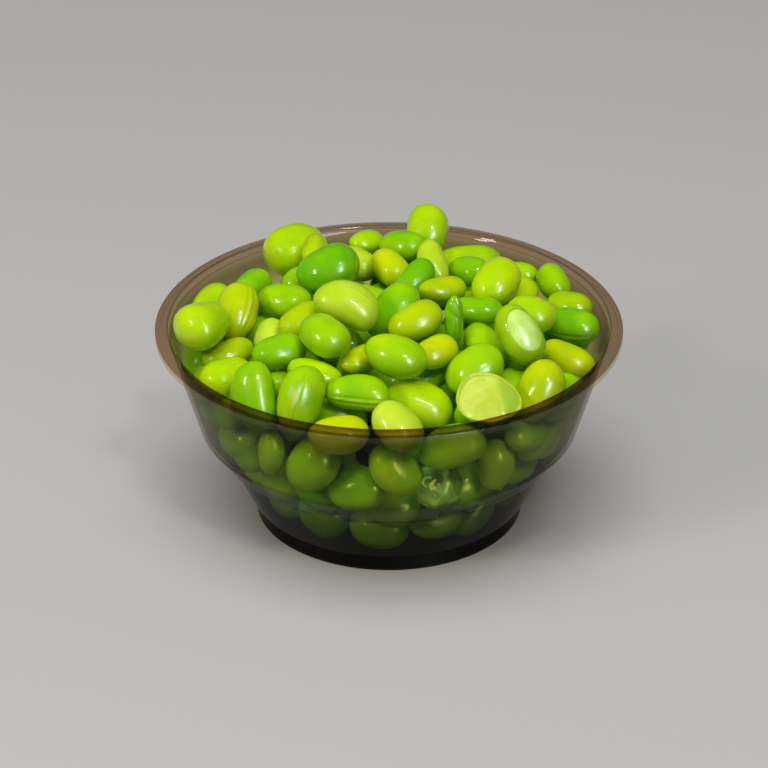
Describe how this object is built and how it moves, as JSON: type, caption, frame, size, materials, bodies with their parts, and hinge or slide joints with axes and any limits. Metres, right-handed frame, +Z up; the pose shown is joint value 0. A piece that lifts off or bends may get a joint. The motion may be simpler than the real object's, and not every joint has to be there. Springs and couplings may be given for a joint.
{
  "type": "bowl of shelled edamame",
  "caption": "Round clear plastic bowl with a foot ring, stacking ledge and rolled rim, heaped with loose shelled edamame beans that rest in it.",
  "frame": {"origin": "middle of the foot ring, on the surface that the bowl stands on", "axes": "+Z up along the bowl's axis, -Y to the front, +X to the right"},
  "size_m": [0.1136, 0.1136, 0.0645],
  "materials": {
    "bowl_plastic": "clear moulded plastic with a faint smoke tint, polished",
    "skin_lime": "wet, smooth bean skin, lime green",
    "skin_yellow": "wet, smooth bean skin, ripe yellow-green",
    "skin_green": "wet, smooth bean skin, fresh green",
    "skin_deep": "wet, smooth bean skin, deep green",
    "skin_pale": "wet, smooth bean skin, pale green",
    "skin_olive": "wet, smooth bean skin, olive green, below the top layer",
    "skin_torn": "wet, smooth bean skin, pale green, loose and torn",
    "bean_flesh": "moist, flat inner face of a split bean, pale yellow-green"
  },
  "bodies": {
    "root": {"bowl": "bowl_plastic", "bean_bed": "skin_olive", "round_bean_01": "skin_lime", "slim_bean_01": "skin_yellow", "plump_bean_01": "skin_green", "oval_bean_01": "skin_green", "oval_bean_02": "skin_yellow", "oval_bean_03": "skin_lime", "pear_bean_01": "skin_lime", "oval_bean_04": "skin_lime", "oval_bean_05": "skin_pale", "oval_bean_06": "skin_yellow", "plump_bean_02": "skin_lime", "slim_bean_02": "skin_yellow", "plump_bean_03": "skin_lime", "kidney_bean_01": "skin_lime", "oval_bean_07": "skin_green", "oval_bean_08": "skin_lime", "slim_bean_03": "skin_lime", "slim_bean_04": "skin_lime", "kidney_bean_02": "skin_pale", "oval_bean_09": "skin_pale", "oval_bean_10": "skin_lime", "oval_bean_11": "skin_lime", "oval_bean_12": "skin_yellow", "plump_bean_04": "skin_lime", "slim_bean_05": "skin_pale", "slim_bean_06": "skin_deep", "oval_bean_13": "skin_green", "slim_bean_07": "skin_yellow", "oval_bean_14": "skin_yellow", "oval_bean_15": "skin_yellow", "oval_bean_16": "skin_lime", "slim_bean_08": "skin_yellow", "slim_bean_09": "skin_lime", "plump_bean_05": "skin_lime", "slim_bean_10": "skin_lime", "oval_bean_17": "skin_lime", "oval_bean_18": "skin_lime", "plump_bean_06": "skin_lime", "oval_bean_19": "skin_yellow", "oval_bean_20": "skin_green", "slim_bean_11": "skin_green", "oval_bean_21": "skin_lime", "slim_bean_12": "skin_yellow", "plump_bean_07": "skin_lime", "oval_bean_22": "skin_yellow", "oval_bean_23": "skin_lime", "plump_bean_08": "skin_pale", "oval_bean_24": "skin_yellow", "kidney_bean_03": "skin_lime", "oval_bean_25": "skin_lime", "oval_bean_26": "skin_lime", "oval_bean_27": "skin_green", "split_bean": "bean_flesh", "torn_bean": "skin_torn", "husked_bean": "skin_torn", "skin_scrap": "skin_pale"}
  },
  "joints": []
}
